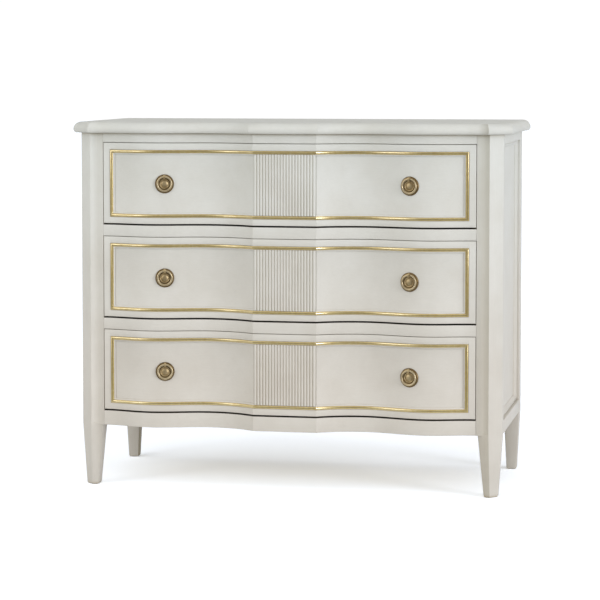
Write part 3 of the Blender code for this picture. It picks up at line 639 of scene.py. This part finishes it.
FRONT_HALF = 0.4416
FIELD_HALF = 0.4258
TOP_REACH = 0.0008
FOOT_RELIEF = 0.0004
FRONT_REAR = 0.022
SAWN_DEPTH = 0.0095
BORDER = 0.015
FIELD_RECESS = 0.005
FRONT_ARRIS = 0.0006
TAIL_COUNT = 4
TAIL_LENGTH = 0.012
TAIL_FLARE = 0.003
TAILS_FROM = 0.003
TAILS_TO = 0.172
PIN_WIDTH = 0.010
BOX_INNER = 0.4288
BOTTOM_HEIGHT = 0.010
BOTTOM_THICKNESS = 0.006
BOTTOM_GROOVE = 0.005
GROOVE_DEPTH = 0.006
# FIT is the gap that joined pieces keep, and PAST is how far a cutter runs out of the wood.
FIT = 0.0003
PAST = 0.004
PULL_RADIUS = 0.0218
PULL_SEAT_PLAY = 0.0008
SEAT_FACETS = 72
RING_STANDOFF = 0.0066
RING_RADIUS = 0.0165
DRAWER_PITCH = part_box("upper_drawer_front")[0].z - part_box("middle_drawer_front")[0].z
joints = {joint["name"]: joint for joint in frame["joints"]}

# Less glaze and painted shade are laid into the corners of the fronts.
paint_front = off_white_paint("on_drawers", ACROSS, 0.28)


def block(x_span, y_span, z_span):
    """A rectangular shape between two places along each axis."""
    corners = ((x_span[0], y_span[0]), (x_span[1], y_span[0]),
               (x_span[1], y_span[1]), (x_span[0], y_span[1]))
    return loft([[(x, y, z) for x, y in corners] for z in z_span])


def discard(piece):
    """Takes a pattern or a tool out of the scene again."""
    bpy.data.objects.remove(piece, do_unlink=True)


def combine(piece, tool, operation):
    """Joins a tool to a piece or cuts it out of it, and leaves no tool."""
    modifier = piece.modifiers.new("combined", "BOOLEAN")
    modifier.operation = operation
    modifier.solver = "EXACT"
    modifier.object = tool
    freeze(piece)
    discard(tool)


def cut(piece, shapes):
    """Cuts all of the shapes out of a piece at once."""
    together = bmesh.new()
    for shape in shapes:
        mesh = bpy.data.meshes.new("cutter")
        bmesh.ops.recalc_face_normals(shape, faces=shape.faces)
        shape.to_mesh(mesh)
        shape.free()
        together.from_mesh(mesh)
        bpy.data.meshes.remove(mesh)
    combine(piece, new_piece("cutter", together), "DIFFERENCE")


def front_stock():
    """One drawer front as straight stock: sunk field, groove and dovetail sockets, edges eased."""
    low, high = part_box("lower_drawer_front")
    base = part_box("apron_rail")[1].z
    face = STILE_FACE
    back = face + FRONT_REAR
    piece = new_piece("front_stock", block((-FRONT_HALF, FRONT_HALF), (face, back),
                                           (low.z + FOOT_RELIEF, high.z + TOP_REACH)))
    field = block((-FIELD_HALF, FIELD_HALF), (face - PAST, face + FIELD_RECESS),
                  (low.z + BORDER, high.z - BORDER))
    groove = block((-BOX_INNER - BOTTOM_GROOVE, BOX_INNER + BOTTOM_GROOVE),
                   (back - GROOVE_DEPTH, back + PAST),
                   (base + BOTTOM_HEIGHT, base + BOTTOM_HEIGHT + BOTTOM_THICKNESS + 2 * FIT))
    cut(piece, [field, groove])
    sockets = []
    tail_low, tail_high = base + TAILS_FROM, base + FIT + TAILS_TO
    pitch = (tail_high - tail_low) / TAIL_COUNT
    root, tip = back + PAST, back - TAIL_LENGTH - FIT
    for side in (-1, 1):
        for k in range(TAIL_COUNT):
            bottom = tail_low + pitch * k + PIN_WIDTH / 2 - FIT
            upper = tail_low + pitch * (k + 1) - PIN_WIDTH / 2 + FIT
            outline = [(root, bottom + TAIL_FLARE), (back, bottom + TAIL_FLARE), (tip, bottom),
                       (tip, upper), (back, upper - TAIL_FLARE), (root, upper - TAIL_FLARE)]
            sockets.append(loft([[(side * x, y, z) for y, z in outline]
                                 for x in (BOX_INNER - FIT, FRONT_HALF + PAST)]))
    cut(piece, sockets)
    ease(piece, FRONT_ARRIS, 30)
    return piece


def sliced(piece, half):
    """Cuts a straight piece into many short lengths, so that it can bend to the plan."""
    freeze(piece)
    shape = merged(piece.data, 0.3)
    for x in stations(half)[1:-1]:
        everything = shape.verts[:] + shape.edges[:] + shape.faces[:]
        bmesh.ops.bisect_plane(shape, geom=everything, dist=SAME_PLACE / 2, plane_co=(x, 0, 0),
                               plane_no=(1, 0, 0))
    discard(piece)
    return shape


def round_angles(facets, start=0.5):
    """The angles of a circle's corners, the first a share of a facet from its start."""
    return [2 * math.pi * (k + start) / facets for k in range(facets)]


def turned(profile, facets):
    """A solid of revolution about Y: profile holds (radius, distance towards the front)."""
    return loft([[(radius * math.cos(angle), -forward, radius * math.sin(angle))
                  for angle in round_angles(facets)] for radius, forward in profile])


def pull_place(level, side):
    """Where a pull is fixed: the middle of its rosette's back, turned square to the field."""
    joint = joints[level + "_ring_" + side + "_swing"]
    along = Vector(joint["axis"])
    forward = Vector((-along.y, along.x, 0))
    back = Vector(joint["pos_m"]) - forward * RING_STANDOFF - Vector((0, 0, RING_RADIUS))
    return Matrix.Translation(back) @ forward.to_track_quat("-Y", "Z").to_matrix().to_4x4()


def placed_copy(pattern, name, place):
    """A copy of a pattern piece with its mesh put in place, its object left at the origin."""
    mesh = pattern.data.copy()
    mesh.transform(place)
    return in_scene(name, mesh)


def on_each_drawer(pattern, name, material, node):
    """Puts a finished copy of a pattern piece on each drawer, and removes the pattern."""
    pieces = []
    for k, level in enumerate(LEVELS):
        piece = placed_copy(pattern, level + name, Matrix.Translation((0, 0, DRAWER_PITCH * k)))
        pieces.append(plain_piece(piece, material, level + "_drawer", level + node))
    discard(pattern)
    return pieces


shape = sliced(front_stock(), FRONT_HALF)
follow_the_plan(shape, STILE_FACE + SAWN_DEPTH)
pattern = new_piece("front_pattern", shape)
bend_to_plan(pattern, paint_across)
freeze(pattern)
seats = []
for side in SIDES:
    seat = turned([(PULL_RADIUS + PULL_SEAT_PLAY, forward) for forward in (-FIT, CENTRE_RELIEF)],
                  SEAT_FACETS)
    bmesh.ops.transform(seat, matrix=pull_place("lower", side), verts=seat.verts)
    seats.append(seat)
cut(pattern, seats)
# Painted shade: the bottom face of each front is near-black.
for piece in on_each_drawer(pattern, "_drawer_front_finished", paint_front,
                            "_drawer_front"):
    refinish_side(piece, painted_shade_dark, (0, 0, -1))


# Gilt mouldings: a narrow wooden moulding planted in the corner of each sunk field, with
# an outer ridge, a quirk and a hollow inner slope, mitred at the corners and leafed.

BEAD_PROFILE = ((0.0, 0.0), (0.0, 0.0048), (0.0003, 0.0055), (0.0008, 0.0060), (0.0016, 0.0065),
                (0.0026, 0.0069), (0.0037, 0.0070), (0.0048, 0.0069), (0.0058, 0.0065),
                (0.0066, 0.0060), (0.0072, 0.0053), (0.0075, 0.0046), (0.0078, 0.0041),
                (0.0082, 0.0041), (0.0088, 0.0036), (0.0096, 0.0028), (0.0104, 0.0022),
                (0.0110, 0.0018), (0.0110, 0.0))
BEAD_WIDTH = BEAD_PROFILE[-1][0]
LEAF_WIDTH = 0.0080
TABLET_WIDTH = 0.146
NOTCH_STEP = 0.0002
TUCK = 0.00001


def gilt_leaf():
    """Gold leaf over a yellow-brown ground, mottled in spots 7.7 mm across, with duller patches
    42 mm across, and brown in the quirks that is dirt and painted shade. The coat stands for its
    burnish."""
    material, tree, surface, place = blank_finish("gilt_leaf")
    mottle = add(tree, "ShaderNodeTexNoise", {"Scale": 130.0, "Detail": 5.0, "Roughness": 0.65},
                 {"Vector": place})
    patches = add(tree, "ShaderNodeTexNoise", {"Scale": 24.0, "Detail": 3.0}, {"Vector": place})
    leaf = add(tree, "ShaderNodeValToRGB",
               {"stops": ((0.30, linear("#C4A54A")), (0.68, linear("#D3BC6E")))}, {"Fac": mottle})
    dirty_and_shaded = in_corners(tree, leaf.outputs[0], "#6A5A34", reach=0.004, share=0.80,
                       least_open=0.20, most_open=0.70)
    for name, value in (("Metallic", 0.85), ("Coat Weight", 1.0), ("Coat Roughness", 0.24),
                        ("Coat IOR", 2.6)):
        surface.inputs[name].default_value = value
    skin(tree, surface, dirty_and_shaded, roughness=(0.28, 0.42), patches=patches, relief=(0.05, 0.0002),
         bumps=mottle)
    return material


# Warm leaf that turns from cream to deep gold with the light, browner in the quirks with dust and
# painted shade.
gilt = gilt_leaf()


def bead_stock():
    """The moulding as a flat frame: its profile run round the field and mitred. Beside the
    tablet it is only as wide as its leaf, with the rest tucked in behind."""
    low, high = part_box("lower_gilt_bead")
    half = high.x
    ground = STILE_FACE + FIELD_RECESS - FIT
    notch = TABLET_WIDTH / 2

    def section(x, mitre, upper):
        points = []
        for k, (inset, height) in enumerate(BEAD_PROFILE):
            if abs(x) <= notch and inset > LEAF_WIDTH:
                inset = LEAF_WIDTH + TUCK * k
            z = high.z - inset if upper else low.z + inset
            points.append((x + mitre * inset, ground - height, z))
        return points

    ends = [side * (notch + step) for side in (-1, 1) for step in (0.0, NOTCH_STEP)]
    run = sorted([x for x in stations(half) if abs(x) < half - BEAD_WIDTH] + ends)
    sections = []
    for upper, way in ((True, 1), (False, -1)):
        sections.append(section(-half * way, way, upper))
        sections += [section(x, 0, upper) for x in run[::way]]
        sections.append(section(half * way, -way, upper))
    return loft(sections, ring=True)


def paint_inner_slope(piece):
    """The hollow next to the field is painted with it, and only the ridge and quirk are leafed."""
    low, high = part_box(piece.name.replace("_moulding", "_bead"))
    piece.data.materials.append(paint_front)
    for face in piece.data.polygons:
        inset = min(face.center.z - low.z, high.z - face.center.z, high.x - abs(face.center.x))
        if inset > LEAF_WIDTH and face.center.z > low.z + LEAF_WIDTH:
            face.material_index = 1


shape = bead_stock()
follow_the_plan(shape, 1.0)
pattern = new_piece("bead_pattern", shape)
bend_to_plan(pattern, gilt)
freeze(pattern)
for piece in on_each_drawer(pattern, "_gilt_moulding", gilt, "_gilt_bead"):
    paint_inner_slope(piece)


# Reeded tablets: a thin ground glued on the raised middle of each field, its face worked
# into twenty-one upright reeds. Painted, with glaze and painted shade left between the reeds.

REED_COUNT = 21
REED_STEPS = 10
REED_HEIGHT = 0.003
REED_ROOT = 0.0005
REED_END = 0.0006
TABLET_BASE = 0.003
END_REACH = 0.0019

# Brushed along the reeds, with enough glaze and painted shade between them to draw a brown line
# at each.
paint_reeds = off_white_paint("on_reeds", UPRIGHT, 0.42)


def reeding_tree():
    """Repeats one reed across the tablet, stands the row on its ground and paints both."""
    tree, given = new_tree("reeding", ("First Place", "Float"), ("Pitch", "Float"),
                           ("Count", "Int"), ("Reed", "Object"))
    start = add(tree, "ShaderNodeCombineXYZ", links={"X": given["First Place"]})
    step = add(tree, "ShaderNodeCombineXYZ", links={"X": given["Pitch"]})
    row = add(tree, "GeometryNodeMeshLine", {"mode": "OFFSET"},
              {"Count": given["Count"], "Start Location": start, "Offset": step})
    reed = add(tree, "GeometryNodeObjectInfo", links={"Object": given["Reed"]})
    reeds = add(tree, "GeometryNodeInstanceOnPoints", links={"Points": row,
                                                             "Instance": reed.outputs["Geometry"]})
    whole = add(tree, "GeometryNodeJoinGeometry", links={0: given["Geometry"]})
    tree.links.new(reeds.outputs[0], whole.inputs[0])
    return finish_tree(tree, whole, given["Finish"])


tablet_low, tablet_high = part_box("lower_reeded_tablet")
tablet_low.z -= END_REACH
tablet_high.z += END_REACH
ground_face = STILE_FACE + FIELD_RECESS - FIT - CENTRE_RELIEF
tablet_face = ground_face - TABLET_BASE
reed_pitch = TABLET_WIDTH / REED_COUNT
reed_rows = []
for z, drawn_in in ((tablet_low.z, REED_END), (tablet_low.z + REED_END, 0.0),
                    (tablet_high.z - REED_END, 0.0), (tablet_high.z, REED_END)):
    row = []
    for k in range(REED_STEPS + 1):
        share = k / REED_STEPS
        height = max(0.0, REED_HEIGHT * math.sin(math.pi * share) - drawn_in)
        row.append((reed_pitch * (share - 0.5), tablet_face - height, z))
    row += [(x, tablet_face + REED_ROOT, z) for x in (reed_pitch / 2, -reed_pitch / 2)]
    reed_rows.append(row)
one_reed = new_piece("one_reed", loft(reed_rows))
half = TABLET_WIDTH / 2
pattern = new_piece("tablet_pattern", block((-half, half), (tablet_face, ground_face),
                                            (tablet_low.z, tablet_high.z)))
give(pattern, reeding_tree(), first_place=-half + reed_pitch / 2, pitch=reed_pitch,
     count=REED_COUNT, reed=one_reed, finish=paint_reeds)
freeze(pattern)
discard(one_reed)
on_each_drawer(pattern, "_reeded_tablet_finished", paint_reeds, "_reeded_tablet")


# Ring pulls: a turned brass rosette with a boss, an eye at its top and a screw behind,
# and a loose ring that hangs in the eye and lies in the rosette's groove.

SCREW_RADIUS = 0.0020
SCREW_LENGTH = 0.016
RIM_HEIGHT = 0.0032
ROSETTE_FACETS = 96
EYE_RADIUS = 0.0048
EYE_BORE = 0.0029
EYE_WIDTH = 0.005
EYE_ARRIS = 0.0005
EYE_FACETS = 40
RING_WIRE = 0.0022
RING_FACETS = 72
WIRE_FACETS = 16
ROSETTE_PROFILE = ((SCREW_RADIUS, -SCREW_LENGTH), (SCREW_RADIUS, 0.0), (0.0216, 0.0),
                   (0.0218, 0.0004), (0.0218, 0.0014), (0.0215, 0.0021), (0.0209, 0.0026),
                   (0.0201, 0.0026), (0.0194, 0.0027), (0.0187, 0.0030), (0.0143, 0.0030),
                   (0.0138, 0.0027), (0.0130, 0.0014), (0.0128, 0.0014), (0.0124, 0.0019),
                   (0.0121, 0.0032), (0.0115, 0.0042), (0.0107, 0.0044), (0.0100, 0.0039),
                   (0.0095, 0.0031), (0.0090, 0.0029), (0.0083, 0.0034), (0.0070, 0.0043),
                   (0.0054, 0.0050), (0.0036, 0.0054), (0.0018, 0.0056), (0.0008, 0.0056))


def antique_brass(name, dull, bright, roughness=0.34):
    """Cast brass gone brown in stains 11 mm across, dark in its corners where polish never
    reaches. Its cast grain is 2.4 mm, coarser than the real one so that it shows."""
    material, tree, surface, place = blank_finish("antique_brass_" + name)
    grain = add(tree, "ShaderNodeTexNoise", {"Scale": 420.0, "Detail": 4.0}, {"Vector": place})
    stain = add(tree, "ShaderNodeTexNoise", {"Scale": 90.0, "Detail": 3.0}, {"Vector": place})
    metal = add(tree, "ShaderNodeValToRGB",
                {"stops": ((0.32, linear(dull)), (0.68, linear(bright)))}, {"Fac": stain})
    aged = in_corners(tree, metal.outputs[0], "#5A462C", reach=0.005, share=0.40,
                      least_open=0.20, most_open=0.65)
    surface.inputs["Metallic"].default_value = 1.0
    skin(tree, surface, aged, roughness=(roughness, roughness + 0.14), patches=stain,
         relief=(0.3, 0.0002), bumps=grain)
    return material


# A warm brown metal whose ridges catch the light and whose grooves stay dark. The rings are
# handled, and paler for it, while the rims outside them are a darker brown.
brass_rosette = antique_brass("brown", "#BBA67E", "#D0BC93", 0.44)
brass_ring = antique_brass("rubbed", "#C8B692", "#DCCBA8")
brass_rim = antique_brass("darker_rim", "#86704A", "#9E8660")


def eye_barrel(radius, half_length):
    """A short cylinder along the eye's bore, across the top of the rosette."""
    return loft([[(x, radius * math.cos(angle) - RING_STANDOFF,
                   radius * math.sin(angle) + RING_RADIUS) for angle in round_angles(EYE_FACETS)]
                 for x in (-half_length, half_length)])


def give_rim_darker_brass(piece, place):
    """Gives the rim of a rosette, outside the ring, a darker brown."""
    piece.data.materials.append(brass_rim)
    to_flat = place.inverted()
    for face in piece.data.polygons:
        spot = to_flat @ face.center
        if math.hypot(spot.x, spot.z) > RING_RADIUS + RING_WIRE and -RIM_HEIGHT < spot.y:
            face.material_index = 1


rosette = new_piece("rosette_pattern", turned(ROSETTE_PROFILE, ROSETTE_FACETS))
barrel = new_piece("eye_pattern", eye_barrel(EYE_RADIUS, EYE_WIDTH / 2))
ease(barrel, EYE_ARRIS, 50)
combine(rosette, barrel, "UNION")
cut(rosette, [eye_barrel(EYE_BORE, EYE_WIDTH)])

ring_rows = []
for angle in round_angles(RING_FACETS, 0):
    out = Vector((math.cos(angle), 0, math.sin(angle)))
    row = []
    for swing in round_angles(WIRE_FACETS, 0):
        reach = RING_RADIUS + RING_WIRE * math.cos(swing)
        row.append(out * reach + Vector((0, RING_WIRE * math.sin(swing) - RING_STANDOFF, 0)))
    ring_rows.append(row)
ring = new_piece("ring_pattern", loft(ring_rows, ring=True))

for level in LEVELS:
    for side in SIDES:
        for pattern, part, body, brass in (
                (rosette, "_rosette_", level + "_drawer", brass_rosette),
                (ring, "_ring_", level + "_ring_" + side[0], brass_ring)):
            place = pull_place(level, side)
            piece = placed_copy(pattern, level + part + side + "_finished", place)
            plain_piece(piece, brass, body, level + part + side)
            if pattern == rosette:
                give_rim_darker_brass(piece, place)
discard(rosette)
discard(ring)


# The room: a plain pale floor that runs out of sight, a soft key light far to the right, a
# softbox on the left and a white sky. The camera stands where the photograph's stood.

FLOOR_SIZE = 40.0
AIM = Vector((0, 0, 0.45))
CAMERA_PLACE = (1.0745, -5.488, 0.9814)
CAMERA_ROUND = 11.161
CAMERA_DOWN = 3.645
FRAME_PIXELS = 600
SHIFT_PIXELS = 80


def seen_directly(tree):
    """The node that tells rays apart, and a share: 1 for rays that show a surface, mirrored ones
    too, and 0 for those that gather its light for matt ones."""
    rays = add(tree, "ShaderNodeLightPath")
    direct = add(tree, "ShaderNodeMath", {"operation": "MAXIMUM"},
                 {0: rays.outputs["Is Camera Ray"], 1: rays.outputs["Is Glossy Ray"]})
    return rays, add(tree, "ShaderNodeMath", {"operation": "MAXIMUM"},
                     {0: direct, 1: rays.outputs["Is Transmission Ray"]})


def stage_floor():
    """A floor that keeps the chest's soft shadow and shows white where nothing shades it. It
    lights the chest as a pale grey one, and metal sees it darken towards the camera."""
    material = bpy.data.materials.new("pale_floor")
    material.use_nodes = True
    tree = material.node_tree
    tree.nodes.clear()
    matt = add(tree, "ShaderNodeBsdfDiffuse", {"Color": grey(0.76)})
    paper = add(tree, "ShaderNodeBsdfDiffuse", {"Color": linear("#D4DAE2")})
    doubled = add(tree, "ShaderNodeAddShader", links={0: paper, 1: paper})
    lift = add(tree, "ShaderNodeEmission", {"Color": grey(1.0), "Strength": 0.30})
    lifted = add(tree, "ShaderNodeAddShader", links={0: doubled, 1: lift})
    rays, shown = seen_directly(tree)
    chosen = add(tree, "ShaderNodeMixShader", links={0: shown, 1: matt, 2: lifted})
    place = add(tree, "ShaderNodeTexCoord").outputs["Object"]
    spot = add(tree, "ShaderNodeSeparateXYZ", links={0: place})
    near_camera = add(tree, "ShaderNodeMapRange", {"From Min": 0.2, "From Max": -0.9},
                      {"Value": spot.outputs["Y"]})
    mirrored = add(tree, "ShaderNodeMath", {"operation": "MULTIPLY"},
                   {0: near_camera, 1: rays.outputs["Is Glossy Ray"]})
    unlit = add(tree, "ShaderNodeEmission", {"Color": grey(1.0), "Strength": 0.25})
    whole = add(tree, "ShaderNodeMixShader", links={0: mirrored, 1: chosen, 2: unlit})
    add(tree, "ShaderNodeOutputMaterial", links={"Surface": whole})
    return material


def studio_sky(tree):
    """A sky that the camera and metal see white, darker far in front, so that metal has something
    to contrast with. Matt surfaces are lit less by it from above and from behind."""
    place = add(tree, "ShaderNodeTexCoord").outputs["Generated"]
    direction = add(tree, "ShaderNodeSeparateXYZ", links={0: place})
    by_height = add(tree, "ShaderNodeMapRange", {"From Min": 0.0, "From Max": 1.0,
                                                 "To Min": 1.095, "To Max": 0.835},
                    {"Value": direction.outputs["Z"]})
    by_depth = add(tree, "ShaderNodeMapRange", {"From Min": -0.15, "From Max": 0.45,
                                                "To Min": 1.0, "To Max": 0.20},
                   {"Value": direction.outputs["Y"]})
    lighting = add(tree, "ShaderNodeMath", {"operation": "MULTIPLY"}, {0: by_height, 1: by_depth})
    showing = add(tree, "ShaderNodeMapRange", {"From Min": -0.42, "From Max": -0.78,
                                               "To Min": 1.03, "To Max": 0.28},
                  {"Value": direction.outputs["Y"]})
    level = add(tree, "ShaderNodeMix", {"data_type": "FLOAT"},
                {0: seen_directly(tree)[1], 2: lighting, 3: showing})
    sky = add(tree, "ShaderNodeBackground", {"Color": grey(1.0)}, {"Strength": level})
    add(tree, "ShaderNodeOutputWorld", links={"Surface": sky})


def soft_light(name, place, size, power, tint="#FFFFFF", seen_only=False):
    """A round softbox: one that is seen only gives a highlight on gloss and lights nothing matt."""
    lamp = bpy.data.lights.new(name, "AREA")
    lamp.shape = "DISK"
    lamp.size = size
    lamp.energy = power
    lamp.color = linear(tint)[:3]
    light = in_scene(name, lamp)
    light.location = place
    light.rotation_euler = (AIM - Vector(place)).to_track_quat("-Z", "Y").to_euler()
    light.visible_camera = False
    light.visible_diffuse = not seen_only


shape = bmesh.new()
bmesh.ops.create_grid(shape, x_segments=1, y_segments=1, size=FLOOR_SIZE)
floor = new_piece("floor", shape)
floor.data.materials.append(stage_floor())

world = bpy.data.worlds.new("studio")
world.use_nodes = True
world.cycles.sampling_method = "NONE"
world.node_tree.nodes.clear()
studio_sky(world.node_tree)
bpy.context.scene.world = world

soft_light("soft_key", (7.14, -4.12, 1.80), 2.8, 240.0, "#F5F7FF")
soft_light("left_softbox", (-2.8, -3.0, 1.5), 1.4, 20.0)
soft_light("left_highlight", (-1.9, -2.95, 2.4), 1.6, 10.0, seen_only=True)

# Place, turn and lens are fitted to the chest's edges in the photograph. The lens looks at a
# place above the chest's middle, so the frame is shifted down to where the chest is.
camera_data = bpy.data.cameras.new("camera")
camera_data.lens = 139.57
camera_data.sensor_width = 36.0
camera_data.shift_y = -SHIFT_PIXELS / FRAME_PIXELS
camera = in_scene("camera", camera_data)
camera.location = CAMERA_PLACE
camera.rotation_euler = (math.radians(90 - CAMERA_DOWN), 0, math.radians(CAMERA_ROUND))
bpy.context.scene.camera = camera
bpy.context.scene.view_settings.view_transform = "Standard"
